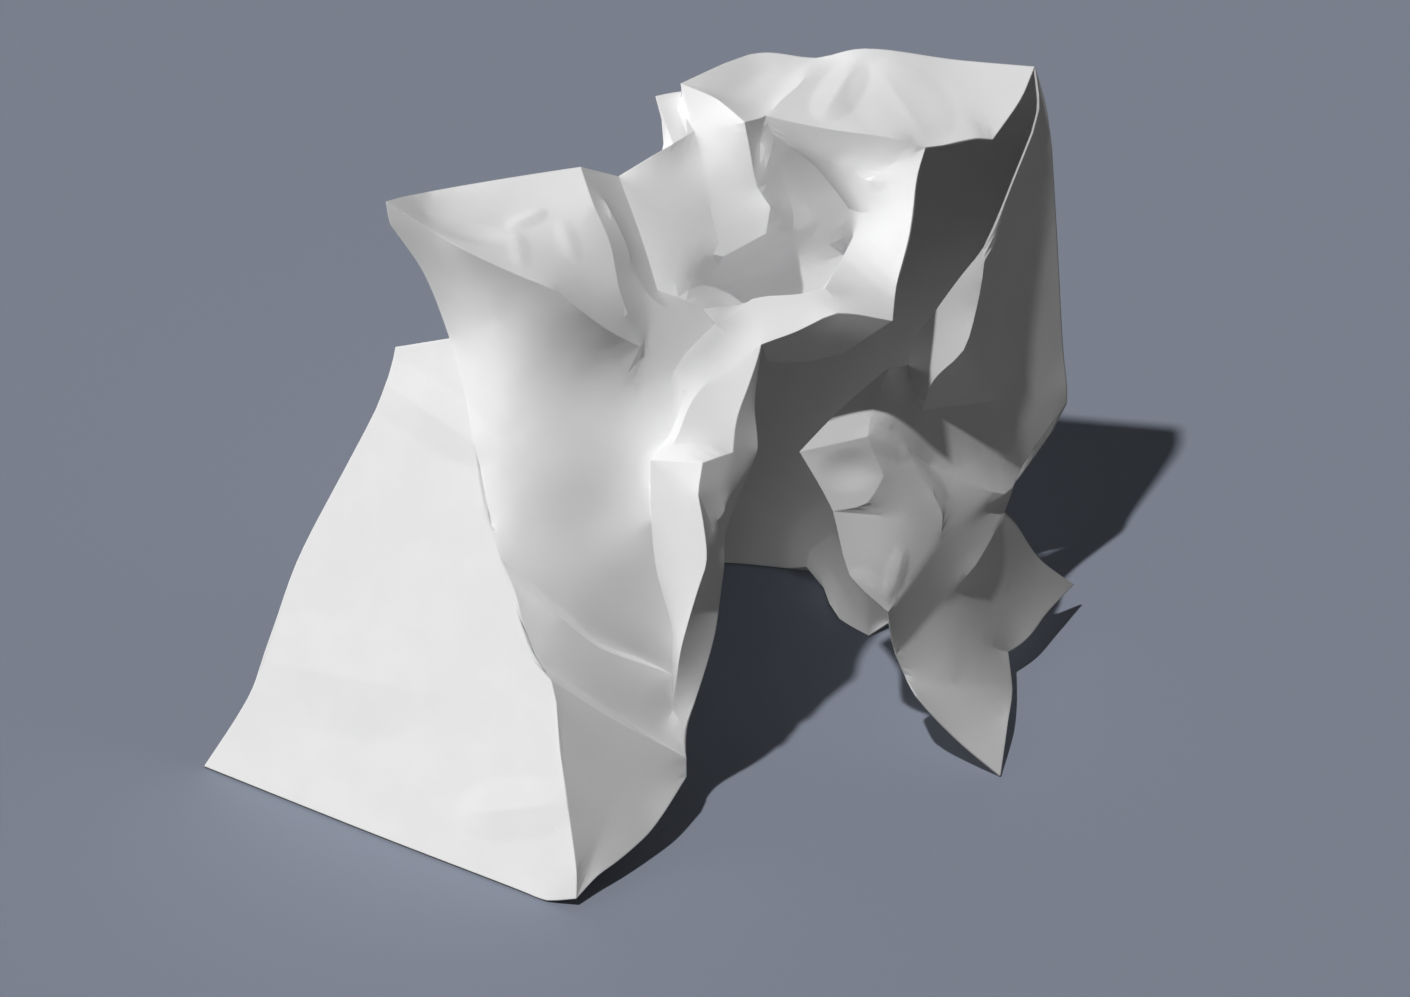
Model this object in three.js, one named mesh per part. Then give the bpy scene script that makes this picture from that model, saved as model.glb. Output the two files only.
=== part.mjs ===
// One sheet of heavy white paper, crumpled by hand and set down on its edges.
// Millimetres, +Z up. The sheet stands on its front left edge, on the tip of its right leg and on
// the bottom edge of its back wall; the viewer's side is -Y.
import * as THREE from "three";

// Driving dimensions
const paperThickness = 0.5;
const splitsPerEdge = 3; // how many parts each edge between two fold corners is divided into
const bulge = 0.8; // how far soft folds round out between corners: 0 is flat facets, 1 is full
const miterLimit = 1.6; // how far the thickness may stretch at a sharp fold
const easingRounds = 8; // how often the soft ground between sharp folds is eased towards its mean
const easingShare = 0.5; // how far each round goes towards that mean
const runsOn = 0.7; // cosine: a fold that turns by more than about 45 degrees has a corner there

// Fold corners of the sheet: x right, y back, z up, each measured off the real shape
const corners = {
  // Left foot: a flat panel that leans back from the front left edge
  footBack: [-104, 0, 0],
  footMid: [-63, -28, 0],
  footNear: [-28, -51, 0],
  footFront: [-22, -55, 0],
  panelLow1: [-93, 4, 18],
  panelLow2: [-71, -6, 24],
  panelLow3: [-47, -24, 22],
  panelLow4: [-36, -38, 12],
  panelEdge2: [-89, 8, 28],
  panelEdge3: [-82, 16, 48],
  panelMid1: [-57, 0, 49],
  panelMid2: [-38, -14, 47],
  panelEdge4: [-70, 23, 71],
  panelMid3: [-55, 12, 69],
  panelEdge5: [-60, 29, 91],
  panelTop1: [-48, 17, 85],
  panelTopLeft: [-58, 33, 99],
  panelTop2: [-50, 27, 98],

  // Long fold that runs up from the front tip, between the foot panel and the front face
  fold0: [-15, -57, 2],
  fold1: [-15, -54, 8],
  fold2: [-17, -45, 20],
  fold3: [-19, -36, 32],
  fold4: [-21, -27, 44],
  fold5: [-25, -23, 46],
  fold6: [-29, -13, 58],
  fold7: [-31, -9, 62],
  fold8: [-33, -6, 65],
  fold9: [-36, 1, 72],
  fold10: [-38, 7, 79],
  fold11: [-39, 12, 86],
  fold12: [-42, 21, 97],
  fold13: [-45, 28, 105],

  // Lower front face and its free edge, which rises from the tip
  hem1: [-10, -52, 5],
  hem2: [-5, -47, 6],
  hem3: [2, -39, 8],
  hem4: [6, -34, 11],
  hem5: [11, -24, 14],
  hemEnd: [11, -22, 18],
  lowerFace: [-5, -35, 18],
  lowStep1: [-6, -25, 31],
  lowStepBack1: [-16, -23, 40],
  lowStepBack2: [-6, -22, 31],
  lowStepBack3: [3, -22, 23],
  highStep1: [-19, -15, 54],
  highStep2: [-10, -16, 46],
  highStep3: [0, -14, 40],
  highStepEnd: [8, -13, 36],
  highStepBack1: [-24, -10, 59],
  highStepBack2: [-17, -12, 53],
  highStepBack3: [-10, -13, 45],
  highStepBack4: [0, -12, 40],

  // Front face: free left edge, soft ridge and the broad hollow under it
  left1: [-51, 28, 124],
  left2: [-56, 28, 133],
  left3: [-59, 28, 138],
  leftTip: [-60, 27, 145],
  ridge1: [-43, 23, 125],
  ridge2: [-32, 15, 120],
  ridge3: [-24, 11, 113],
  ridge4: [-16, 8, 107],
  ridge5: [-11, 6, 103],
  ridge6: [-5, 5, 100],
  front1: [-33, 9, 101],
  front2: [-29, 0, 84],
  front3: [-24, -5, 70],
  front4: [-14, -2, 88],
  front5: [-10, -8, 66],
  front6: [-5, -4, 78],
  front7: [-1, -9, 60],
  front8: [3, -11, 49],
  front9: [-5, 0, 92],
  front10: [-19, 4, 98],
  front11: [-2, 9, 106],

  // Neck valley and neck ridge, which carry the front face up to the bridge
  neck1: [3, -7, 94],
  neck2: [7, -2, 97],
  neck3: [9, 2, 100],
  neck4: [11, 6, 104],
  neck5: [8, 12, 106],
  neck6: [11, 16, 109],
  neck7: [18, 22, 113],
  neckRidge1: [8, -5, 97],
  neckRidge2: [12, 0, 105],
  neckRidge3: [15, 3, 108],
  neckRidge4: [21, 6, 111],

  // Narrow front strip between the front face and the right-hand edge strip
  strip1: [3, -9, 78],
  strip2: [4, -10, 65],
  strip3: [6, -11, 57],
  strip4: [8, -12, 49],
  strip5: [8, -13, 42],
  stripTip: [8, -15, 27],
  stripRight1: [15, -14, 98],
  stripRight2: [14, -18, 92],
  stripRight3: [15, -20, 86],
  stripRight4: [16, -22, 76],
  stripRight5: [14, -21, 67],
  stripRight6: [12, -20, 58],
  stripRight7: [10, -19, 48],
  stripRight8: [9, -17, 38],

  // Small dents at the top of the edge strip
  dent1: [20, -13, 91],
  dent2: [22, -8, 97],
  dent3: [20, -15, 85],
  dent4: [17, -17, 82],

  // Edge strip: its free edge frames the left side of the front opening
  throat1: [23, -4, 104],
  throat2: [26, 2, 110],
  edge2: [27, 2, 104],
  edge3: [28, -3, 95],
  edge4: [27, -4, 92],
  edge5: [20, -12, 76],
  edge6: [20, -14, 70],
  edge7: [19, -15, 60],
  edge8: [18, -16, 51],
  edge9: [16, -17, 42],
  edge10: [13, -18, 31],
  edge11: [11, -20, 25],

  // Bridge over the front opening, with a lip folded under it
  bridgeLow0: [29, 8, 117],
  bridgeLow1: [37, 9, 120],
  bridgeLow2: [47, 11, 124],
  bridgeLow3: [60, 12, 121],
  bridgeHigh1: [23, 18, 119],
  bridgeHigh2: [27, 18, 123],
  bridgeHigh3: [38, 17, 125],
  bridgeHigh4: [44, 18, 126],
  lip1: [30, 11, 110],
  lip2: [39, 14, 108],
  lip3: [48, 16, 109],

  // Bright band from the bridge up to the top face
  bandRight1: [61, 22, 124],
  bandRight2: [64, 33, 130],
  bandRight3: [65, 38, 134],
  bandRight4: [66, 46, 139],
  bandLeft1: [51, 44, 123],
  bandLeft2: [53, 50, 126],
  bandLeft3: [55, 49, 136],
  bandLeft4: [59, 51, 139],

  // Upper left face with its shallow dimples
  leftTop1: [-50, 38, 140],
  leftTop2: [-32, 42, 141],
  leftTop3: [-14, 44, 143],
  brow1: [-49, 22, 140],
  brow2: [-42, 16, 139],
  brow3: [-28, 9, 136],
  brow4: [-20, 6, 134],
  brow5: [-14, 5, 129],
  brow6: [-8, 6, 123],
  brow7: [0, 10, 115],
  brow8: [2, 15, 115],
  dimple1: [-50, 30, 138],
  dimple2: [-44, 28, 138],
  dimple3: [-32, 28, 137],
  dimple4: [-23, 33, 138],
  dimple5: [-33, 20, 138],
  dimple6: [-19, 16, 136],
  shoulder1: [-11, 33, 140],
  shoulder2: [-7, 24, 135],
  shoulder3: [-5, 14, 129],
  shoulder4: [-3, 11, 124],

  // Curled ridge beside the upper left face, and the cleft behind it
  curl1: [-10, 40, 139],
  curl2: [-7, 33, 138],
  curl3: [-3, 28, 131],
  curl4: [-2, 25, 127],
  curl5: [1, 22, 123],
  curl6: [4, 21, 120],
  curl7: [7, 21, 118],
  curl8: [14, 23, 117],
  cleft1: [-5, 56, 132],
  cleft2: [1, 44, 120],
  cleft3: [4, 36, 113],
  cleft4: [9, 36, 111],
  cleft5: [15, 34, 109],

  // Inner panel, its top ridge and the small tab behind it
  inner1: [5, 54, 129],
  inner2: [6, 44, 121],
  inner3: [15, 44, 117],
  innerTop1: [8, 60, 139],
  innerTop2: [13, 64, 140],
  tab1: [4, 74, 143],
  tab2: [10, 76, 143],

  // Column: a narrow standing fold at the back of the hollow
  column1: [10, 72, 148],
  column2: [16, 56, 132],
  column3: [17, 52, 124],
  column4: [20, 48, 115],
  columnTop1: [18, 66, 148],
  columnTop2: [21, 62, 148],
  columnRight1: [25, 56, 148],
  columnRight2: [26, 55, 142],
  columnRight3: [28, 52, 132],
  columnRight4: [31, 48, 129],
  columnRight5: [30, 46, 123],

  // Peak of the back ridge
  peak1: [26, 84, 148],
  peak2: [31, 85, 148],
  peak3: [42, 84, 147],
  peak4: [53, 84, 150],
  peak5: [74, 82, 148],
  rightTip: [94, 79, 148],
  peakFace1: [25, 76, 146],
  peakFace2: [21, 69, 146],
  peakFace3: [31, 79, 143],
  peakFold1: [38, 73, 147],
  peakFold2: [34, 67, 147],

  // Top face and its front rim
  rim1: [30, 60, 147],
  rim2: [45, 56, 146],
  rim3: [61, 52, 146],
  rim4: [68, 51, 144],
  rim5: [80, 55, 144],
  rim6: [84, 56, 143],
  rim7: [91, 69, 146],
  top1: [45, 67, 146],
  top2: [57, 79, 148],
  top3: [59, 76, 147],
  top4: [66, 64, 145],

  // Hollow below the rim
  scoop1: [32, 58, 143],
  scoop2: [40, 59, 136],
  scoop3: [46, 60, 127],
  scoop4: [50, 58, 122],
  scoopMid: [45, 57, 137],
  notch: [29, 64, 136],
  hollow1: [33, 64, 120],
  hollow2: [38, 66, 110],
  hollow3: [24, 62, 96],
  hollow4: [36, 66, 102],
  hollow5: [50, 64, 105],
  hollow6: [12, 52, 105],
  hollow7: [27, 56, 89],
  hollow8: [42, 58, 89],

  // Right outer wall with its free front edge
  wallEdge1: [95, 72, 141],
  wallEdge2: [89, 60, 129],
  wallEdge3: [82, 50, 116],
  wallEdge4: [76, 47, 109],
  wallEdge5: [70, 44, 101],
  wallEdge6: [65, 43, 93],
  wallEdge7: [64, 41, 88],
  side1: [97, 77, 136],
  side2: [99, 76, 108],
  side3: [101, 75, 68],
  side4: [102, 74, 54],
  wall1: [92, 68, 109],
  wall2: [90, 68, 80],
  wall3: [86, 58, 66],
  wallFold1: [82, 47, 114],
  wallFold2: [80, 43, 103],
  wallFold3: [77, 36, 96],
  wallFold4: [70, 34, 89],
  wallBase: [67, 34, 80],

  // Roll across the right leg
  rollMid: [79, 46, 61],
  rollEnd: [91, 60, 45],
  rollLow0: [60, 26, 81],
  rollLow1: [63, 26, 75],
  rollLow2: [69, 31, 66],
  rollLow3: [78, 35, 58],
  rollLow4: [87, 42, 50],
  rollCorner: [87, 43, 44],

  // Flap that points at the viewer, with its dented middle
  flapEdge1: [59, 34, 92],
  flapEdge2: [48, 26, 86],
  flapEdge3: [38, 18, 79],
  flapEdge4: [46, 12, 66],
  flapEdge5: [50, 5, 52],
  flapEdge6: [59, 3, 43],
  flapIn0: [61, 28, 85],
  flapDent1: [54, 20, 82],
  flapDent2: [58, 18, 72],
  flapDent3: [54, 14, 67],
  flapFold1: [64, 18, 61],
  flapFold2: [70, 24, 62],
  flapFold3: [72, 23, 57],
  flapSpike: [61, 7, 53],
  flapLow1: [65, 11, 47],
  flapLow2: [71, 20, 51],
  flapLow3: [80, 28, 39],
  flapLow4: [72, 20, 34],
  flapLow5: [65, 11, 30],
  flapLow6: [61, 7, 28],

  // Right leg and the flap behind it
  legEdge1: [60, 6, 33],
  legEdge2: [63, 7, 22],
  legEdge3: [66, 2, 19],
  legEdge4: [76, -1, 8],
  legTip: [86, -4, 0],
  legRight1: [88, 12, 5],
  legRight2: [89, 26, 4],
  legRight3: [88, 36, 8],
  legMid: [75, 12, 14],
  legFold: [82, 28, 17],
  wing1: [95, 54, 23],
  wing2: [104, 64, 8],
  wing3: [97, 50, 9],
  wing4: [93, 42, 8],
  wingMid: [86, 40, 24],

  // Back wall, hanging from the top ridges to the floor
  backLeft1: [-48, 40, 120],
  backLeft2: [-42, 48, 100],
  backLeft3: [-40, 58, 60],
  back1: [-25, 60, 100],
  back2: [-20, 72, 50],
  back3: [8, 76, 100],
  back4: [12, 82, 50],
  back5: [29, 84, 52],
  back6: [39, 84, 16],
  back7: [45, 84, 100],
  back8: [70, 82, 100],
  back9: [62, 78, 50],
  back10: [82, 78, 60],
  floor0: [-42, 80, 0],
  floor1: [-10, 84, 0],
  floor2: [20, 85, 0],
  floor3: [43, 81, 0],
  floor4: [48, 61, 0],
  floor5: [55, 54, 0],
  floor6: [72, 66, 6],
  floor7: [90, 78, 28],
};

// A run of corners, written as their names in one line of words.
const run = (words) => words.trim().split(/\s+/);

const at = (name) => {
  if (!corners[name]) throw new Error("no corner named " + name);
  return new THREE.Vector3(...corners[name]);
};

// Facets of the net, each three corner names
const facets = [];

const facet = (words) => facets.push(run(words));

// Facets round one middle corner.
function fan(middle, words) {
  const rim = run(words);
  rim.forEach((name, i) => facets.push([middle, name, rim[(i + 1) % rim.length]]));
}

// Facets between two runs of corners, always closing the shorter cross line next.
function band(wordsA, wordsB) {
  const a = run(wordsA);
  const b = run(wordsB);
  let i = 0;
  let j = 0;
  while (i < a.length - 1 || j < b.length - 1) {
    const stepA = i < a.length - 1 ? at(a[i + 1]).distanceTo(at(b[j])) : Infinity;
    const stepB = j < b.length - 1 ? at(a[i]).distanceTo(at(b[j + 1])) : Infinity;
    if (stepA < stepB) {
      facets.push([a[i], a[i + 1], b[j]]);
      i += 1;
    } else {
      facets.push([a[i], b[j + 1], b[j]]);
      j += 1;
    }
  }
}

function netFootPanel() {
  band(
    "footBack footMid footNear footFront fold0",
    "panelLow1 panelLow2 panelLow3 panelLow4 fold1",
  );
  band(
    "panelEdge2 panelLow1 panelLow2 panelLow3 panelLow4 fold1 fold2 fold3",
    "panelEdge3 panelMid1 panelMid2 fold4",
  );
  band("panelEdge3 panelMid1 panelMid2 fold4 fold5 fold6 fold7", "panelEdge4 panelMid3 fold8");
  band("panelEdge4 panelMid3 fold8 fold9 fold10", "panelEdge5 panelTop1 fold11");
  band("panelEdge5 panelTop1 fold11", "panelTopLeft panelTop2 fold12");
  facet("panelTopLeft panelTop2 fold13");
  facet("panelTop2 fold12 fold13");
}

function netLowerFront() {
  fan("lowerFace", "fold0 hem1 hem2 hem3 hem4 hem5 hemEnd lowStep1 fold4 fold3 fold2 fold1");
  band("fold4 lowStep1 hemEnd", "fold5 lowStepBack1 lowStepBack2 lowStepBack3");
  band(
    "fold6 fold5 lowStepBack1 lowStepBack2 lowStepBack3 hemEnd",
    "fold7 highStep1 highStep2 highStep3 highStepEnd stripTip",
  );
  band(
    "fold7 highStep1 highStep2 highStep3 highStepEnd",
    "fold8 highStepBack1 highStepBack2 highStepBack3 highStepBack4",
  );
}

function netFrontFace() {
  band(
    "leftTip brow1 brow2 brow3 brow4 brow5 brow6 brow7",
    "left3 left2 left1 ridge1 ridge2 ridge3 ridge4 ridge5 ridge6 front11",
  );
  band("brow7 brow8 neck7", "front11 neck5 neck6");
  band("front11 neck5 neck4", "ridge6 neck3");
  band(
    "left1 ridge1 ridge2 ridge3 ridge4 ridge5 ridge6 neck3",
    "fold13 fold12 front1 front10 front9 neck2",
  );
  band("fold12 front1 front10 front9 neck2 neck1", "fold11 front2 front4 front6 strip1");
  band("fold11 front2 front4 front6 strip1 strip2", "fold10 fold9 front3 front5 front7 strip3");
  band(
    "fold9 front3 front5 front7 strip3 strip4",
    "fold8 highStepBack1 highStepBack2 highStepBack3 front8 strip5",
  );
  facet("front8 highStepBack3 highStepBack4");
  facet("front8 highStepBack4 highStepEnd");
  facet("front8 highStepEnd strip5");
}

function netNeckAndStrip() {
  facet("neck1 neck2 neckRidge1");
  band(
    "neck2 neck3 neck4 neck5 neck6 neck7",
    "neckRidge1 neckRidge2 neckRidge3 neckRidge4 bridgeLow0",
  );
  band(
    "neck1 neckRidge1 neckRidge2 neckRidge3 neckRidge4 bridgeLow0",
    "stripRight1 dent2 throat1 throat2",
  );
  band(
    "neck1 strip1 strip2 strip3 strip4 strip5 highStepEnd stripTip",
    "stripRight1 stripRight2 stripRight3 stripRight4 stripRight5 stripRight6 stripRight7 stripRight8",
  );
}

function netEdgeStrip() {
  facet("stripRight1 dent2 dent1");
  facet("stripRight1 dent1 stripRight2");
  facet("stripRight2 dent1 dent3");
  facet("stripRight2 dent3 dent4");
  facet("stripRight2 dent4 stripRight3");
  facet("stripRight3 dent4 stripRight4");
  band(
    "dent2 dent1 dent3 dent4 stripRight4 stripRight5 stripRight6 stripRight7 stripRight8 stripTip",
    "edge4 edge5 edge6 edge7 edge8 edge9 edge10 edge11 hemEnd",
  );
  band("dent2 throat1 throat2 bridgeLow0", "edge4 edge3 edge2");
}

function netBridge() {
  band("neck7 bridgeHigh1 bridgeHigh2 bridgeHigh3 bridgeHigh4", "bridgeLow0 bridgeLow1 bridgeLow2");
  facet("bridgeHigh4 bridgeLow2 bridgeLow3");
  band("bridgeLow0 bridgeLow1 bridgeLow2 bridgeLow3", "lip1 lip2 lip3");
  band(
    "bridgeHigh4 bandLeft1 bandLeft2 bandLeft3 bandLeft4 rim3",
    "bridgeLow3 bandRight1 bandRight2 bandRight3 bandRight4 rim4",
  );
}

function netUpperLeft() {
  facet("leftTip dimple1 brow1");
  band("leftTip leftTop1 leftTop2 leftTop3", "dimple1 dimple2 dimple3 dimple4 shoulder1");
  band(
    "dimple1 dimple2 dimple3 dimple4 shoulder1 shoulder2",
    "brow1 brow2 dimple5 dimple6 shoulder3",
  );
  band(
    "brow2 dimple5 dimple6 shoulder3 shoulder4",
    "brow3 brow4 brow5 brow6 brow7 brow8",
  );
  facet("leftTop3 curl1 shoulder1");
  band(
    "shoulder1 shoulder2 shoulder3 shoulder4 brow8 neck7",
    "curl1 curl2 curl3 curl4 curl5 curl6 curl7 curl8",
  );
  band(
    "leftTop3 curl1 curl2 curl3 curl4 curl5 curl6 curl7 curl8 neck7",
    "cleft1 cleft2 cleft3 cleft4 cleft5",
  );
}

function netInnerPanelAndColumn() {
  fan("inner1", "cleft1 innerTop1 innerTop2 column2 column3 inner3 inner2 cleft2");
  facet("column3 column4 inner3");
  facet("innerTop1 innerTop2 tab2");
  facet("innerTop1 tab2 tab1");
  facet("innerTop2 column1 tab2");
  band(
    "column1 innerTop2 column2 column3",
    "columnTop1 columnTop2 columnRight1 columnRight2 columnRight3 columnRight4 columnRight5 column4",
  );
}

function netTop() {
  facet("column1 peak1 peakFace1");
  facet("column1 peakFace1 peakFace2");
  facet("column1 peakFace2 columnTop1");
  facet("columnTop1 peakFace2 columnTop2");
  fan(
    "peakFace3",
    "peak1 peak2 peak3 peakFold1 peakFold2 rim1 columnRight1 columnTop2 peakFace2 peakFace1",
  );
  band("peak3 peakFold1 peakFold2 rim1", "peak4 top2 top1 rim2");
  band("peak4 top2 top1 rim2", "peak5 top3 top4 rim3");
  band("peak5 top3 top4 rim3", "rightTip rim7 rim6 rim5 rim4");
  fan("scoopMid", "rim1 rim2 rim3 bandLeft4 bandLeft3 bandLeft2 scoop4 scoop3 scoop2 scoop1");
}

function netHollow() {
  facet("columnRight1 rim1 notch");
  facet("rim1 scoop1 notch");
  facet("columnRight1 notch columnRight2");
  band("columnRight2 notch scoop1", "columnRight3 hollow1 scoop2");
  band("columnRight3 hollow1 scoop2", "columnRight4 hollow2 scoop3");
  facet("columnRight4 hollow2 columnRight5");
  facet("hollow2 scoop3 scoop4");
  band("columnRight5 hollow2 scoop4 bandLeft2", "column4 hollow3 hollow4 hollow5 bandLeft1");
  band("cleft2 inner2 inner3 column4", "cleft3 cleft4 hollow6 hollow3");
  band("cleft4 hollow6 hollow3 hollow4 hollow5 bandLeft1", "cleft5 hollow7 hollow8 bridgeHigh4");
  band("cleft5 hollow7 hollow8 bridgeHigh4", "neck7 bridgeHigh1 bridgeHigh2 bridgeHigh3");
}

function netRightWall() {
  band("rightTip side1 side2 side3 side4", "wallEdge1 wallEdge2 wall1 wall2 wall3");
  band(
    "wallEdge2 wall1 wall2 wall3",
    "wallEdge3 wallFold1 wallFold2 wallFold3 wallFold4 wallBase",
  );
  band(
    "wallEdge3 wallFold1 wallFold2 wallFold3 wallFold4 wallBase",
    "wallEdge4 wallEdge5 wallEdge6 wallEdge7",
  );
  facet("wallBase wall3 rollMid");
  facet("wall3 rollEnd rollMid");
  facet("wall3 side4 rollEnd");
  band("wallBase rollMid rollEnd", "rollLow0 rollLow1 rollLow2 rollLow3 rollLow4");
  facet("rollEnd rollLow4 rollCorner");
}

function netFlap() {
  facet("wallBase wallEdge7 flapIn0");
  facet("wallBase flapIn0 rollLow0");
  facet("wallEdge7 flapEdge1 flapIn0");
  facet("flapEdge1 flapEdge2 flapDent1");
  facet("flapEdge1 flapDent1 flapIn0");
  facet("flapEdge2 flapEdge3 flapDent1");
  facet("flapEdge3 flapDent1 flapDent2");
  facet("flapEdge3 flapDent2 flapDent3");
  facet("flapEdge3 flapDent3 flapEdge4");
  facet("flapDent1 flapDent2 rollLow0");
  facet("flapDent1 rollLow0 flapIn0");
  facet("rollLow0 rollLow1 flapDent2");
  facet("flapDent2 rollLow1 flapFold2");
  facet("rollLow1 rollLow2 flapFold2");
  facet("flapDent2 flapFold2 flapFold1");
  facet("flapDent2 flapFold1 flapDent3");
  facet("flapDent3 flapFold1 flapEdge4");
  band("rollLow2 rollLow3 rollLow4 rollCorner", "flapFold2 flapFold3 flapLow2");
  facet("flapFold1 flapFold2 flapFold3");
  facet("flapFold1 flapFold3 flapLow2");
  facet("flapFold1 flapLow2 flapLow1");
  facet("flapFold1 flapLow1 flapSpike");
  facet("flapFold1 flapSpike flapEdge4");
  facet("flapEdge4 flapSpike flapEdge5");
  facet("flapEdge5 flapSpike flapEdge6");
  facet("flapSpike flapLow1 flapEdge6");
  band("flapEdge6 flapLow1 flapLow2 rollCorner", "flapLow6 flapLow5 flapLow4 flapLow3");
}

function netLeg() {
  facet("flapEdge6 flapLow6 legEdge1");
  fan(
    "legMid",
    "flapLow5 flapLow6 legEdge2 legEdge3 legEdge4 legTip legRight1 legRight2 legFold flapLow4",
  );
  facet("legRight2 legRight3 legFold");
  fan("wingMid", "flapLow4 flapLow3 rollCorner wing1 wing2 wing3 wing4 legRight3 legFold");
}

function netBackWall() {
  band(
    "leftTip leftTop1 leftTop2 leftTop3 cleft1 innerTop1 tab1 tab2 column1 " +
      "peak1 peak2 peak3 peak4 peak5 rightTip side1",
    "backLeft1 backLeft2 back1 back3 back7 back8 side2",
  );
  band("backLeft2 back1 back3 back7 back8 side2", "backLeft3 back2 back4 back5 back9 back10 side3");
  band("backLeft3 back2 back4 back5 back6", "floor0 floor1 floor2 floor3");
  band("back6 back5 back9 back10 side3", "floor3 floor4 floor5 floor6 floor7 side4");
}

// Sharp folds. Everything between them is rounded; each line is one fold.
const sharpFolds = [
  "fold0 fold1 fold2 fold3 fold4 fold5 fold6 fold7 fold8 fold9 fold10 fold11 fold12 fold13",
  "fold4 lowStep1 hemEnd",
  "fold5 lowStepBack1 lowStepBack2 lowStepBack3 hemEnd",
  "fold7 highStep1 highStep2 highStep3 highStepEnd",
  "fold8 highStepBack1 highStepBack2 highStepBack3 highStepBack4 highStepEnd",
  "lowStepBack3 stripTip",
  "neck1 strip1 strip2 strip3 strip4 strip5 highStepEnd stripTip",
  "stripRight1 stripRight2 stripRight3 stripRight4 stripRight5 stripRight6 stripRight7 stripRight8 stripTip",
  "neck1 stripRight1 dent2",
  "stripRight1 dent1 stripRight2",
  "dent2 dent1 dent3 dent4 stripRight2",
  "neck1 neckRidge1 neckRidge2 neckRidge3 neckRidge4 bridgeLow0",
  "neck1 neck2 neck3 neck4 neck5 neck6 neck7",
  "dent2 throat1 throat2 bridgeLow0",
  "bridgeLow0 bridgeLow1 bridgeLow2 bridgeLow3",
  "neck7 bridgeHigh1 bridgeHigh2 bridgeHigh3 bridgeHigh4",
  "bridgeHigh4 bandLeft1 bandLeft2 bandLeft3 bandLeft4 rim3",
  "columnRight1 rim1 rim2 rim3 rim4",
  "leftTip brow1 brow2 brow3 brow4 brow5 brow6 brow7 brow8",
  "leftTop3 shoulder1 shoulder2 shoulder3 shoulder4 brow8 neck7",
  "leftTop3 curl1 curl2 curl3 curl4 curl5 curl6 curl7 curl8 neck7",
  "cleft1 cleft2 cleft3 cleft4 cleft5 neck7",
  "leftTip leftTop1 leftTop2 leftTop3 cleft1 innerTop1 tab1 tab2 column1 peak1 peak2 peak3 peak4",
  "peak4 peak5 rightTip side1 side2 side3 side4",
  "innerTop1 innerTop2",
  "column1 innerTop2 column2 column3 column4",
  "column1 columnTop1 columnTop2 columnRight1",
  "columnRight1 columnRight2 columnRight3 columnRight4 columnRight5 column4",
  "peak3 peakFold1 peakFold2 rim1",
  "rim1 scoop1 scoop2 scoop3 scoop4 bandLeft2",
  "cleft5 hollow7 hollow8 hollow5 bandLeft1",
  "wallEdge3 wallFold1 wallFold2 wallFold3 wallFold4 wallBase",
  "wallBase wall3 side4",
  "rollLow0 rollLow1 rollLow2 rollLow3 rollLow4 rollEnd",
  "flapEdge3 flapDent1 flapDent2 flapDent3 flapEdge4",
  "flapEdge4 flapFold1 flapFold2 flapFold3 flapLow2",
  "rollCorner flapLow2 flapLow1 flapEdge6",
  "rollCorner flapLow3 flapLow4 flapLow5 flapLow6",
  "flapLow4 legFold legRight3",
];

netFootPanel();
netLowerFront();
netFrontFace();
netNeckAndStrip();
netEdgeStrip();
netBridge();
netUpperLeft();
netInnerPanelAndColumn();
netTop();
netHollow();
netRightWall();
netFlap();
netLeg();
netBackWall();

const edgeKey = (a, b) => (a < b ? a + " " + b : b + " " + a);

// Which facets meet at each edge of the net.
function facetsByEdge(list) {
  const found = new Map();
  list.forEach((names, index) => {
    names.forEach((name, i) => {
      const key = edgeKey(name, names[(i + 1) % 3]);
      if (!found.has(key)) found.set(key, []);
      found.get(key).push(index);
    });
  });
  for (const [key, owners] of found)
    if (owners.length > 2) throw new Error("three facets share " + key);
  return found;
}

const runsAlong = (names, a, b) => names.some((name, i) => name === a && names[(i + 1) % 3] === b);

// Turns facets over until all of them face the same way as the first.
function faceOneWay(list, byEdge) {
  const done = new Set([0]);
  const waiting = [0];
  while (waiting.length) {
    const index = waiting.pop();
    const names = list[index];
    names.forEach((a, i) => {
      const b = names[(i + 1) % 3];
      for (const other of byEdge.get(edgeKey(a, b))) {
        if (done.has(other)) continue;
        if (runsAlong(list[other], a, b)) list[other].reverse();
        done.add(other);
        waiting.push(other);
      }
    });
  }
  if (done.size !== list.length) throw new Error("the net is not one sheet");
}

const edgeOwners = facetsByEdge(facets);
faceOneWay(facets, edgeOwners);

// Edges where the surface may turn sharply: the sharp folds and the free edges.
const sharpNext = new Map();
const noteSharp = (a, b) => {
  for (const [from, to] of [[a, b], [b, a]]) {
    if (!sharpNext.has(from)) sharpNext.set(from, new Set());
    sharpNext.get(from).add(to);
  }
};
for (const words of sharpFolds) {
  const names = run(words);
  names.slice(1).forEach((name, i) => {
    if (!edgeOwners.has(edgeKey(names[i], name)))
      throw new Error("no facet edge " + names[i] + " " + name);
    noteSharp(names[i], name);
  });
}
const freeEdges = [...edgeOwners].filter(([, owners]) => owners.length === 1).map(([key]) => key);
freeEdges.forEach((key) => noteSharp(...key.split(" ")));
const isSharp = (a, b) => sharpNext.has(a) && sharpNext.get(a).has(b);

const facetNormal = (names) => {
  const [a, b, c] = names.map(at);
  return b.sub(a).cross(c.sub(a)).normalize();
};

// The angle of a facet at one of its corners.
function cornerAngle(names, name) {
  const others = names.filter((n) => n !== name).map((n) => at(n).sub(at(name)));
  return others[0].angleTo(others[1]);
}

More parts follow.
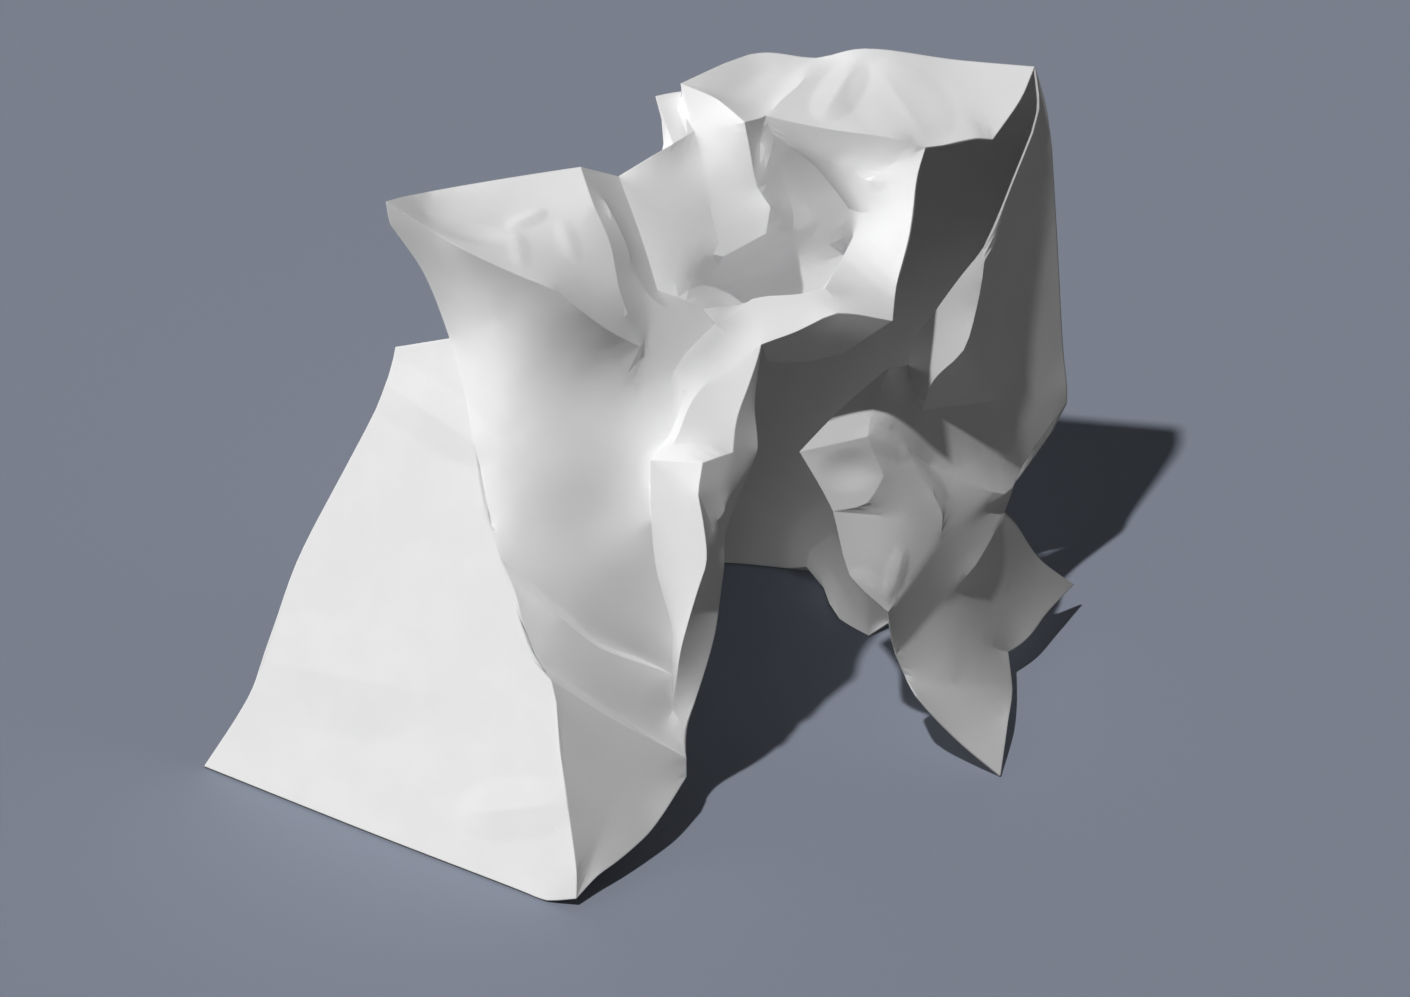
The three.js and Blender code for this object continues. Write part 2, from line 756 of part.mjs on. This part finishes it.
const facetsAt = new Map();
facets.forEach((names, index) => {
  for (const name of names) {
    if (!facetsAt.has(name)) facetsAt.set(name, []);
    facetsAt.get(name).push(index);
  }
});

// The normal of the smooth patch of facets round one corner that holds the given facet.
function smoothNormal(name, index) {
  const patch = new Set([index]);
  const waiting = [index];
  while (waiting.length) {
    const names = facets[waiting.pop()];
    for (const other of names) {
      if (other === name || isSharp(name, other)) continue;
      for (const next of edgeOwners.get(edgeKey(name, other))) {
        if (patch.has(next)) continue;
        patch.add(next);
        waiting.push(next);
      }
    }
  }
  const sum = new THREE.Vector3();
  for (const i of patch) sum.addScaledVector(facetNormal(facets[i]), cornerAngle(facets[i], name));
  return sum.normalize();
}

// The way a sharp fold runs through a corner on its way to the next one.
function foldDirection(from, to) {
  const ahead = at(to).sub(at(from)).normalize();
  let best = null;
  let bestTurn = runsOn;
  for (const other of sharpNext.get(from)) {
    if (other === to) continue;
    const behind = at(from).sub(at(other)).normalize();
    const straight = behind.dot(ahead);
    if (straight > bestTurn) {
      bestTurn = straight;
      best = behind;
    }
  }
  return best ? best.add(ahead).normalize() : ahead;
}

// One control point of the curve along an edge, a third of the way from its first corner.
function control(from, to, index) {
  const start = at(from);
  const chord = at(to).sub(start);
  const third = chord.clone().divideScalar(3);
  let pulled;
  if (isSharp(from, to)) {
    const along = foldDirection(from, to);
    pulled = along.multiplyScalar(chord.length() / 3);
  } else {
    const normal = smoothNormal(from, index);
    pulled = third.clone().addScaledVector(normal, -third.dot(normal));
  }
  return start.add(third.lerp(pulled, bulge));
}

// Both facets at a soft edge take the same control point: the mean of what each would choose.
function sharedControl(from, to) {
  const owners = edgeOwners.get(edgeKey(from, to));
  const sum = new THREE.Vector3();
  for (const index of owners) sum.add(control(from, to, index));
  return sum.divideScalar(owners.length);
}

// Points of the rounded sheet, found once for each place on an edge or in a facet
const points = [];
const pointAt = new Map();
const held = new Set(); // the points on sharp folds and free edges, which easing leaves alone

function pointFor(key, make) {
  if (!pointAt.has(key)) {
    pointAt.set(key, points.length);
    points.push(make());
  }
  return pointAt.get(key);
}

// A point of a facet's cubic patch, at i, j and k parts of the way towards its three corners.
function patchPoint(corner, side, middle, i, j, k) {
  const n = splitsPerEdge;
  const u = i / n;
  const v = j / n;
  const w = k / n;
  const sum = new THREE.Vector3();
  sum.addScaledVector(corner[0], u * u * u);
  sum.addScaledVector(corner[1], v * v * v);
  sum.addScaledVector(corner[2], w * w * w);
  sum.addScaledVector(side[0][0], 3 * u * u * v);
  sum.addScaledVector(side[0][1], 3 * v * v * u);
  sum.addScaledVector(side[1][0], 3 * v * v * w);
  sum.addScaledVector(side[1][1], 3 * w * w * v);
  sum.addScaledVector(side[2][0], 3 * w * w * u);
  sum.addScaledVector(side[2][1], 3 * u * u * w);
  return sum.addScaledVector(middle, 6 * u * v * w);
}

// A name for a place on the net that two facets sharing it both arrive at.
function placeKey(names, parts, index) {
  const used = names.map((name, i) => [name, parts[i]]).filter(([, part]) => part > 0);
  if (used.length === 3) return "inside " + index + " " + parts.join(" ");
  return used.map(([name, part]) => name + ":" + part).sort().join(" ");
}

// Whether a place lies on a sharp fold or a free edge.
function onSharpEdge(names, parts) {
  const used = names.filter((name, i) => parts[i] > 0);
  if (used.length === 1) return sharpNext.has(used[0]);
  return used.length === 2 && isSharp(used[0], used[1]);
}

// Splits one facet into small triangles that follow its rounded patch.
function roundFacet(names, index, triangles) {
  const n = splitsPerEdge;
  const corner = names.map(at);
  const side = names.map((name, i) => {
    const next = names[(i + 1) % 3];
    return [sharedControl(name, next), sharedControl(next, name)];
  });
  const edgeMean = new THREE.Vector3();
  side.flat().forEach((p) => edgeMean.addScaledVector(p, 1 / 6));
  const cornerMean = new THREE.Vector3();
  corner.forEach((p) => cornerMean.addScaledVector(p, 1 / 3));
  const middle = edgeMean.clone().addScaledVector(edgeMean.clone().sub(cornerMean), 0.5);
  const id = (i, j) => {
    const parts = [i, j, n - i - j];
    const key = placeKey(names, parts, index);
    const point = pointFor(key, () => patchPoint(corner, side, middle, ...parts));
    if (onSharpEdge(names, parts)) held.add(point);
    return point;
  };
  for (let i = 0; i < n; i += 1)
    for (let j = 0; j < n - i; j += 1) {
      triangles.push([id(i, j), id(i + 1, j), id(i, j + 1)]);
      if (i + j < n - 1) triangles.push([id(i + 1, j), id(i + 1, j + 1), id(i, j + 1)]);
    }
}

// Eases each free point halfway towards the mean of its neighbours, as paper evens out its curve.
function easePoints(triangles) {
  const near = points.map(() => new Set());
  for (const [a, b, c] of triangles) {
    near[a].add(b).add(c);
    near[b].add(a).add(c);
    near[c].add(a).add(b);
  }
  for (let round = 0; round < easingRounds; round += 1) {
    const moved = points.map((p, i) => {
      if (held.has(i)) return p;
      const mean = new THREE.Vector3();
      near[i].forEach((other) => mean.addScaledVector(points[other], 1 / near[i].size));
      return p.clone().lerp(mean, easingShare);
    });
    moved.forEach((p, i) => (points[i] = p));
  }
}

// The offset of each point to one face of the paper, kept short at sharp folds.
function faceOffsets(triangles) {
  const sums = points.map(() => new THREE.Vector3());
  const met = points.map(() => []);
  for (const [a, b, c] of triangles) {
    const ab = points[b].clone().sub(points[a]);
    const ac = points[c].clone().sub(points[a]);
    const bc = points[c].clone().sub(points[b]);
    const normal = ab.clone().cross(ac).normalize();
    sums[a].addScaledVector(normal, ab.angleTo(ac));
    sums[b].addScaledVector(normal, bc.angleTo(ab.clone().negate()));
    sums[c].addScaledVector(normal, ac.angleTo(bc));
    [a, b, c].forEach((p) => met[p].push(normal));
  }
  return sums.map((sum, p) => {
    const normal = sum.normalize();
    const least = Math.min(...met[p].map((m) => m.dot(normal)));
    const stretch = least * miterLimit > 1 ? 1 / least : miterLimit;
    return normal.multiplyScalar((paperThickness / 2) * stretch);
  });
}

// The free border of the small triangles, each step in the way its triangle runs.
function borderSteps(triangles) {
  const steps = new Map();
  for (const triangle of triangles)
    triangle.forEach((a, i) => {
      const b = triangle[(i + 1) % 3];
      if (steps.has(b + " " + a)) steps.delete(b + " " + a);
      else steps.set(a + " " + b, [a, b]);
    });
  return [...steps.values()];
}

// The sheet as one closed body: two faces and the cut edge all the way round.
function thickSheet(triangles) {
  const offsets = faceOffsets(triangles);
  const upper = points.map((p, i) => p.clone().add(offsets[i]));
  const lower = points.map((p, i) => p.clone().sub(offsets[i]));
  const count = points.length;
  const index = [];
  for (const [a, b, c] of triangles) {
    index.push(a, b, c);
    index.push(count + a, count + c, count + b);
  }
  for (const [a, b] of borderSteps(triangles)) {
    index.push(a, count + a, b);
    index.push(b, count + a, count + b);
  }
  const flat = [...upper, ...lower].flatMap((p) => [p.x, p.y, p.z]);
  const geometry = new THREE.BufferGeometry();
  geometry.setAttribute("position", new THREE.Float32BufferAttribute(flat, 3));
  geometry.setIndex(index);
  return geometry;
}

// Sets the body down on the floor with the middle of its footprint at the origin.
function setDown(geometry) {
  geometry.computeBoundingBox();
  const box = geometry.boundingBox;
  const middle = box.getCenter(new THREE.Vector3());
  geometry.translate(-middle.x, -middle.y, -box.min.z);
  geometry.computeVertexNormals();
  return geometry;
}

const triangles = [];
facets.forEach((names, index) => roundFacet(names, index, triangles));
easePoints(triangles);

const paper = new THREE.MeshStandardMaterial({ color: 0xf0f0ee, roughness: 0.85, metalness: 0 });
const sheet = new THREE.Mesh(setDown(thickSheet(triangles)), paper);
sheet.name = "crumpled_sheet";

const object = new THREE.Group();
object.add(sheet);
export default object;
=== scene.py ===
"""A sheet of heavy white paper, crumpled by hand and set down on its edges as a standing arch."""

import logging
import math
from dataclasses import dataclass, field
from enum import Enum

import bmesh
import bpy
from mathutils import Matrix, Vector

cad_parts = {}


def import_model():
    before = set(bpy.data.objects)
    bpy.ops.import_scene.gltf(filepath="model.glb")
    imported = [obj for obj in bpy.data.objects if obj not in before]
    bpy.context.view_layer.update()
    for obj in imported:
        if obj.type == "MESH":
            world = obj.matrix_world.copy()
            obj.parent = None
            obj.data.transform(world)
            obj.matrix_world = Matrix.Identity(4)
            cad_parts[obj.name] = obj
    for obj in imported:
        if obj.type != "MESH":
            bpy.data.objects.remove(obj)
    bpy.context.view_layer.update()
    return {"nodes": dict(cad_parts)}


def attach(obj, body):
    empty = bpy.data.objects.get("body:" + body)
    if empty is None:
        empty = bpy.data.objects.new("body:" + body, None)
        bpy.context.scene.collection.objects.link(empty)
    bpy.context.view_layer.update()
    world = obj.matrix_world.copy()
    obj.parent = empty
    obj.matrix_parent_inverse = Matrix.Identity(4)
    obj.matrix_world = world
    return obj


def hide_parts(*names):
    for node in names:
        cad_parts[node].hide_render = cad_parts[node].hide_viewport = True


log = logging.getLogger("crumpled_paper")

MM = 0.001
SHEET_NODE = "crumpled_sheet"
BODY = "root"
QUAD_CORNERS = 4
LAMP_DISTANCE = 2.0


class Press(Enum):
    """How a small mark in the sheet was pressed in: as a round dent or as a straight crease."""

    DENT = "dent"
    PINCH = "pinch"


@dataclass(frozen=True)
class Mark:
    """A small mark that a finger or a neighbouring fold left in one layer of the sheet.

    Lengths are in millimetres, and the place is in the object's own frame. A pinch is deepest along
    its middle. The higher pinch_end is, the closer to its oval outline it fades out.
    """

    place: tuple[float, float, float]
    along: tuple[float, float, float]
    push: tuple[float, float, float]
    length: float
    width: float
    depth: float
    press: Press = Press.DENT
    pinch_end: int = 8

    def share(self, u: float, v: float) -> float:
        """Gives how much of the depth a point takes.

        Args:
            u: The point's place along the mark, from -1 to 1 at its ends.
            v: The point's place across the mark, from -1 to 1 at its sides.

        Returns:
            The share of the depth, from 0 to 1.
        """
        r = math.hypot(u, v)
        if r >= 1.0:
            return 0.0
        if self.press is Press.DENT:
            return (1.0 - r * r) ** 2
        return (1.0 - abs(v)) * (1.0 - u * u) * (1.0 - r**self.pinch_end)


# The small marks of the upper faces, the foot panel and the flap
MARKS = (
    Mark((-26.9, 15.1, 138.6), (8.6, 5.1, 0.9), (0.0, 0.0, 1.0), 12.0, 6.0, 0.7, Press.PINCH),
    Mark((-38.5, 9.0, 138.6), (1.0, 0.0, 0.0), (0.1, -0.1, -1.0), 19.0, 10.0, 0.8),
    Mark((-28.6, 4.0, 137.5), (0.1, -1.0, -0.1), (0.0, 0.0, 1.0), 15.0, 6.0, 0.3, Press.PINCH),
    Mark((-17.0, 9.0, 136.5), (0.3, -1.0, -0.3), (0.0, 0.0, 1.0), 14.0, 6.0, 0.3, Press.PINCH),
    Mark((47.5, 56.5, 147.0), (-6.0, -16.0, 0.0), (0.0, 0.0, 1.0), 26.0, 12.0, 0.9, Press.PINCH),
    Mark((62.5, 52.0, 147.0), (8.0, -18.0, 0.0), (0.0, 0.0, 1.0), 32.0, 24.0, 0.8, Press.PINCH),
    Mark((-30.0, -54.0, 16.2), (23.8, -9.6, 9.7), (-0.5, -0.7, 0.5), 34.0, 16.0, 0.5, Press.PINCH),
    Mark((-72.6, -16.8, 28.9), (25.0, -14.0, 4.0), (-0.5, -0.7, 0.5), 60.0, 30.0, 0.6, Press.PINCH),
    Mark((-50.0, 6.6, 89.0), (18.5, -15.0, -4.5), (-0.5, -0.7, 0.5), 44.0, 16.0, 0.9, Press.PINCH),
    Mark((55.2, -9.3, 49.3), (3.0, 2.0, -4.0), (0.3, -0.9, 0.4), 14.0, 7.0, 0.7, Press.PINCH),
    Mark((50.0, 3.1, 74.7), (1.0, 0.2, 0.0), (-0.15, 0.89, -0.43), 17.0, 12.0, 1.1),
    Mark((67.6, 12.3, 67.5), (9.0, 2.7, -13.5), (0.76, -0.45, 0.46), 22.0, 8.0, 0.8, Press.PINCH),
    Mark((58.4, 8.6, 78.4), (9.3, 4.8, -8.3), (0.4, -0.52, 0.6), 18.0, 7.0, 0.7, Press.PINCH),
    Mark((61.2, -5.4, 50.9), (-3.0, -2.0, -5.0), (0.6, -0.7, 0.3), 14.0, 7.0, 0.7, Press.PINCH),
)


@dataclass(frozen=True)
class PaperFinish:
    """Matte white drawing paper with a faint felt texture.

    Sizes and heights are in millimetres. Folds are shaded as if rounded by fold_radius.
    """

    colour: tuple[float, float, float] = (0.875, 0.875, 0.88)
    shade: tuple[float, float, float] = (0.85, 0.85, 0.855)
    roughness: float = 0.86
    gloss: float = 0.22
    roughness_spread: float = 0.06
    cloud_size: float = 12.0
    cloud_range: tuple[float, float] = (0.35, 0.65)
    felt_size: float = 0.55
    fibre_size: float = 0.16
    felt_height: float = 0.018
    fibre_height: float = 0.006
    fold_radius: float = 0.42
    fold_rays: int = 6

    def material(self) -> bpy.types.Material:
        """Makes the paper's material.

        Returns:
            The material, with clouded colour and a felt and fibre relief.
        """
        made = bpy.data.materials.new("white_drawing_paper")
        made.use_nodes = True
        nodes, links = made.node_tree.nodes, made.node_tree.links
        shader = nodes["Principled BSDF"]
        shader.inputs["Specular IOR Level"].default_value = self.gloss
        place = nodes.new("ShaderNodeTexCoord").outputs["Object"]

        cloud = self._noise(nodes, links, place, self.cloud_size, detail=3.0)
        tint = nodes.new("ShaderNodeMix")
        tint.data_type = "RGBA"
        tint.inputs["A"].default_value = (*self.shade, 1.0)
        tint.inputs["B"].default_value = (*self.colour, 1.0)
        spread = nodes.new("ShaderNodeMapRange")
        spread.inputs["From Min"].default_value = self.cloud_range[0]
        spread.inputs["From Max"].default_value = self.cloud_range[1]
        links.new(cloud, spread.inputs["Value"])
        links.new(spread.outputs["Result"], tint.inputs["Factor"])
        links.new(tint.outputs["Result"], shader.inputs["Base Color"])

        felt = self._noise(nodes, links, place, self.felt_size, detail=4.0)
        fibre = self._noise(nodes, links, place, self.fibre_size, detail=2.0)
        wear = nodes.new("ShaderNodeMapRange")
        wear.inputs["To Min"].default_value = self.roughness - self.roughness_spread
        wear.inputs["To Max"].default_value = self.roughness + self.roughness_spread
        links.new(felt, wear.inputs["Value"])
        links.new(wear.outputs["Result"], shader.inputs["Roughness"])

        fold = nodes.new("ShaderNodeBevel")
        fold.samples = self.fold_rays
        fold.inputs["Radius"].default_value = self.fold_radius * MM
        coarse = self._bump(nodes, links, felt, self.felt_height)
        links.new(fold.outputs["Normal"], coarse.inputs["Normal"])
        fine = self._bump(nodes, links, fibre, self.fibre_height)
        links.new(coarse.outputs["Normal"], fine.inputs["Normal"])
        links.new(fine.outputs["Normal"], shader.inputs["Normal"])
        return made

    @staticmethod
    def _noise(
        nodes: bpy.types.Nodes,
        links: bpy.types.NodeLinks,
        place: bpy.types.NodeSocket,
        size: float,
        detail: float,
    ) -> bpy.types.NodeSocket:
        """Adds noise with grains of one size.

        Args:
            nodes: The material's nodes.
            links: The material's links.
            place: The socket that gives the point on the surface.
            size: The size of a grain in millimetres.
            detail: How many finer layers the noise has.

        Returns:
            The socket with the noise.
        """
        noise = nodes.new("ShaderNodeTexNoise")
        noise.inputs["Scale"].default_value = 1.0 / (size * MM)
        noise.inputs["Detail"].default_value = detail
        links.new(place, noise.inputs["Vector"])
        return noise.outputs["Fac"]

    @staticmethod
    def _bump(
        nodes: bpy.types.Nodes,
        links: bpy.types.NodeLinks,
        height: bpy.types.NodeSocket,
        millimetres: float,
    ) -> bpy.types.Node:
        """Adds a relief.

        Args:
            nodes: The material's nodes.
            links: The material's links.
            height: The socket with the relief's pattern.
            millimetres: How high the relief stands.

        Returns:
            The bump node.
        """
        bump = nodes.new("ShaderNodeBump")
        bump.inputs["Distance"].default_value = millimetres * MM
        links.new(height, bump.inputs["Height"])
        return bump


@dataclass(frozen=True)
class FloorFinish:
    """A plain pale blue-grey floor.

    The camera sees the colour, times lift. Other rays meet a neutral grey, so that the floor doesn't
    tint the paper.
    """

    colour: tuple[float, float, float] = (0.202, 0.223, 0.275)
    lift: float = 1.77
    bounce: float = 0.2
    grain: float = 0.012
    grain_density: float = 900.0
    roughness: float = 0.95

    def material(self) -> bpy.types.Material:
        """Makes the floor's material.

        Returns:
            The material, a matte colour with a hardly visible grain.
        """
        made = bpy.data.materials.new("plain_floor")
        made.use_nodes = True
        nodes, links = made.node_tree.nodes, made.node_tree.links
        shader = nodes["Principled BSDF"]
        shader.inputs["Roughness"].default_value = self.roughness
        shader.inputs["Specular IOR Level"].default_value = 0.0
        noise = nodes.new("ShaderNodeTexNoise")
        noise.inputs["Scale"].default_value = self.grain_density
        links.new(nodes.new("ShaderNodeTexCoord").outputs["Object"], noise.inputs["Vector"])
        tint = nodes.new("ShaderNodeMix")
        tint.data_type = "RGBA"
        low = [self.lift * c * (1.0 - self.grain) for c in self.colour]
        high = [self.lift * c * (1.0 + self.grain) for c in self.colour]
        tint.inputs["A"].default_value = (*low, 1.0)
        tint.inputs["B"].default_value = (*high, 1.0)
        links.new(noise.outputs["Fac"], tint.inputs["Factor"])
        seen = nodes.new("ShaderNodeMix")
        seen.data_type = "RGBA"
        seen.inputs["A"].default_value = (self.bounce, self.bounce, self.bounce, 1.0)
        links.new(nodes.new("ShaderNodeLightPath").outputs["Is Camera Ray"], seen.inputs["Factor"])
        links.new(tint.outputs["Result"], seen.inputs["B"])
        links.new(seen.outputs["Result"], shader.inputs["Base Color"])
        return made


@dataclass
class CrumpledSheet:
    """The one folded sheet, with its folds kept crisp and its faces softly curved.

    An edge that turns by more than fold_angle is a crisp fold, one that turns by less than
    softest_fold is no fold, and one between the two is partly rounded.
    """

    fold_angle: float = math.radians(22.0)
    softest_fold: float = math.radians(11.0)
    pair_shape: float = math.radians(65.0)
    rounding_levels: int = 1
    weld: float = 0.002 * MM
    longest_edge: float = 2.0 * MM
    longest_edge_in_mark: float = 0.8 * MM
    reach: float = 4.0 * MM
    finish: PaperFinish = field(default_factory=PaperFinish)
    marks: tuple[Mark, ...] = MARKS

    def build(self, node: bpy.types.Object) -> bpy.types.Object:
        """Builds the sheet over its solid.

        Args:
            node: The solid of the sheet.

        Returns:
            The dressed sheet.
        """
        mesh = self._clean_copy(node)
        sheet = bpy.data.objects.new("paper_sheet", mesh)
        bpy.context.scene.collection.objects.link(sheet)
        self._round(sheet)
        self._refine(sheet.data)
        sheet.data.materials.clear()
        sheet.data.materials.append(self.finish.material())
        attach(sheet, BODY)
        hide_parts(node.name)
        return sheet

    def _clean_copy(self, node: bpy.types.Object) -> bpy.types.Mesh:
        """Copies the solid's mesh, joins its corners and marks its folds.

        Args:
            node: The solid of the sheet.

        Returns:
            A new closed mesh, in quads where its triangles pair up.
        """
        work = bmesh.new()
        work.from_mesh(node.data)
        bmesh.ops.remove_doubles(work, verts=work.verts, dist=self.weld)
        crease = work.edges.layers.float.new("crease_edge")
        folds = [e for e in work.edges if e.calc_face_angle(math.pi) > self.softest_fold]
        soft = [e for e in work.edges if e.calc_face_angle(math.pi) <= self.softest_fold]
        for edge in folds:
            angle = edge.calc_face_angle(math.pi)
            edge[crease] = min(angle / self.fold_angle, 1.0)
            edge.smooth = angle < self.fold_angle
        # A dict keeps the order in which faces are met, so that each run gives the same mesh
        faces = dict.fromkeys(f for e in soft for f in e.link_faces)
        bmesh.ops.join_triangles(
            work,
            faces=list(faces),
            cmp_sharp=True,
            angle_face_threshold=self.fold_angle / 2.0,
            angle_shape_threshold=self.pair_shape,
        )
        for face in work.faces:
            face.smooth = True
        mesh = bpy.data.meshes.new("paper_sheet")
        work.to_mesh(mesh)
        work.free()
        return mesh

    def _round(self, sheet: bpy.types.Object) -> None:
        """Rounds the soft faces between the folds.

        Args:
            sheet: The sheet, whose mesh is replaced by a finer one.
        """
        finer = sheet.modifiers.new("finer", "SUBSURF")
        finer.levels = self.rounding_levels
        bpy.context.view_layer.update()
        graph = bpy.context.evaluated_depsgraph_get()
        rounded = bpy.data.meshes.new_from_object(sheet.evaluated_get(graph))
        sheet.modifiers.clear()
        sheet.data = rounded

    def _refine(self, mesh: bpy.types.Mesh) -> None:
        """Splits the long edges, and presses the small marks in.

        Args:
            mesh: The sheet's mesh.
        """
        work = bmesh.new()
        work.from_mesh(mesh)
        self._split(work, work.edges, self.longest_edge)
        for mark in self.marks:
            axes = self._axes(mark)
            near = [v for v in work.verts if self._place(v.co, mark, axes)]
            edges = dict.fromkeys(e for v in near for e in v.link_edges)
            self._split(work, list(edges), self.longest_edge_in_mark)
            for vertex in work.verts:
                place = self._place(vertex.co, mark, axes)
                if place:
                    vertex.co += axes[2] * (mark.depth * MM * mark.share(*place))
        many_sided = [f for f in work.faces if len(f.verts) > QUAD_CORNERS]
        bmesh.ops.triangulate(work, faces=many_sided)
        work.to_mesh(mesh)
        work.free()

    @staticmethod
    def _split(work: bmesh.types.BMesh, edges: list[bmesh.types.BMEdge], longest: float) -> None:
        """Halves edges until none is longer than a limit.

        Args:
            work: The mesh.
            edges: The edges that may be halved.
            longest: The longest that an edge may stay, in metres.
        """
        long = [e for e in edges if e.calc_length() > longest]
        while long:
            made = bmesh.ops.subdivide_edges(work, edges=long, cuts=1, use_grid_fill=True)
            new = dict.fromkeys(made["geom_inner"] + made["geom_split"])
            halves = [g for g in new if isinstance(g, bmesh.types.BMEdge)]
            long = [e for e in halves if e.calc_length() > longest]

    @staticmethod
    def _axes(mark: Mark) -> tuple[Vector, Vector, Vector]:
        """Gives the directions along, across and into a mark."""
        push = Vector(mark.push).normalized()
        along = Vector(mark.along)
        along = (along - along.dot(push) * push).normalized()
        return along, push.cross(along), push

    def _place(
        self, point: Vector, mark: Mark, axes: tuple[Vector, Vector, Vector]
    ) -> tuple[float, float] | None:
        """Finds where a point lies in a mark.

        Args:
            point: The point.
            mark: The mark.
            axes: The directions along, across and into the mark.

        Returns:
            How far it is along and across, each from -1 to 1, or nothing if it is outside.
        """
        offset = point - Vector(mark.place) * MM
        if abs(offset.dot(axes[2])) > self.reach:
            return None
        u = offset.dot(axes[0]) / (mark.length * MM / 2.0)
        v = offset.dot(axes[1]) / (mark.width * MM / 2.0)
        return (u, v) if math.hypot(u, v) < 1.0 else None


@dataclass(frozen=True)
class Lamp:
    """A far lamp that gives even light from one side.

    A level of 1 shows a colour that faces the lamp as it is written. The softness is the lamp's width
    as seen from the sheet, in degrees.
    """

    name: str
    source: tuple[float, float, float]
    level: float
    softness: float

    def build(self, lights_only: bpy.types.Object | None = None) -> bpy.types.Object:
        """Hangs the lamp.

        Args:
            lights_only: The one thing that the lamp lights, or nothing if it lights all.

        Returns:
            The lamp.
        """
        data = bpy.data.lights.new(self.name, "SUN")
        data.energy = math.pi * self.level
        data.angle = math.radians(self.softness)
        lamp = bpy.data.objects.new(self.name, data)
        lamp.rotation_euler = Vector(self.source).to_track_quat("Z", "Y").to_euler()
        lamp.location = Vector(self.source).normalized() * LAMP_DISTANCE
        bpy.context.scene.collection.objects.link(lamp)
        if lights_only:
            lit = bpy.data.collections.new(self.name + "_lights")
            lit.objects.link(lights_only)
            lamp.light_linking.receiver_collection = lit
        return lamp


@dataclass
class Studio:
    """The floor, the lamps, the air's light and the camera.

    The camera's target is in millimetres, and the other lengths are in metres.
    """

    floor_size: float = 12.0
    floor_gap: float = 0.2 * MM
    air_level: float = 0.065
    key: Lamp = Lamp("key_lamp", (-0.22, -0.38, 0.9), 0.52, 1.6)
    side: Lamp = Lamp("side_lamp", (-0.9, 0.08, 0.26), 0.84, 50.0)
    finish: FloorFinish = field(default_factory=FloorFinish)
    camera_height: float = math.radians(35.0)
    camera_distance: float = 8.0
    camera_reach: float = 100.0
    camera_target: tuple[float, float, float] = (15.5, 0.0, 68.5)
    frame_width: float = 335.7 * MM

    def build(self, sheet: bpy.types.Object) -> None:
        """Sets the whole studio up round the sheet.

        Args:
            sheet: The sheet, which has a lamp of its own.
        """
        self._floor()
        self.key.build()
        self.side.build(lights_only=sheet)
        self._air()
        self._camera()

    def _floor(self) -> None:
        """Lays the floor just under the sheet's lowest edge."""
        half = self.floor_size / 2.0
        work = bmesh.new()
        corners = [(-half, -half), (half, -half), (half, half), (-half, half)]
        work.faces.new([work.verts.new((x, y, -self.floor_gap)) for x, y in corners])
        mesh = bpy.data.meshes.new("floor")
        work.to_mesh(mesh)
        work.free()
        mesh.materials.append(self.finish.material())
        floor = bpy.data.objects.new("floor", mesh)
        bpy.context.scene.collection.objects.link(floor)

    def _air(self) -> None:
        """Gives the air a weak even light, and shows the floor's colour behind all."""
        world = bpy.data.worlds.new("studio")
        world.use_nodes = True
        nodes, links = world.node_tree.nodes, world.node_tree.links
        light = nodes["Background"]
        light.inputs["Color"].default_value = (1.0, 1.0, 1.0, 1.0)
        light.inputs["Strength"].default_value = self.air_level
        shown = nodes.new("ShaderNodeBackground")
        shown.inputs["Color"].default_value = (*self.finish.colour, 1.0)
        path = nodes.new("ShaderNodeLightPath")
        mix = nodes.new("ShaderNodeMixShader")
        links.new(path.outputs["Is Camera Ray"], mix.inputs["Fac"])
        links.new(light.outputs["Background"], mix.inputs[1])
        links.new(shown.outputs["Background"], mix.inputs[2])
        links.new(mix.outputs["Shader"], nodes["World Output"].inputs["Surface"])
        bpy.context.scene.world = world

    def _camera(self) -> None:
        """Stands the camera in front of the sheet, looking down on it from far away."""
        data = bpy.data.cameras.new("camera")
        data.lens = data.sensor_width * self.camera_distance / self.frame_width
        data.clip_end = self.camera_reach
        camera = bpy.data.objects.new("camera", data)
        back = Vector((0.0, -math.cos(self.camera_height), math.sin(self.camera_height)))
        camera.location = Vector(self.camera_target) * MM + back * self.camera_distance
        camera.rotation_euler = back.to_track_quat("Z", "Y").to_euler()
        bpy.context.scene.collection.objects.link(camera)
        bpy.context.scene.camera = camera


def main() -> None:
    """Loads the solids, dresses the sheet and sets up the studio."""
    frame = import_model()
    scene = bpy.context.scene
    scene.view_settings.view_transform = "Standard"
    sheet = CrumpledSheet().build(frame["nodes"][SHEET_NODE])
    log.info("%s has %d faces", sheet.name, len(sheet.data.polygons))
    Studio().build(sheet)
    log.info("studio is set up round %s", sheet.name)


if __name__ == "__main__":
    logging.basicConfig(level=logging.INFO)
    main()
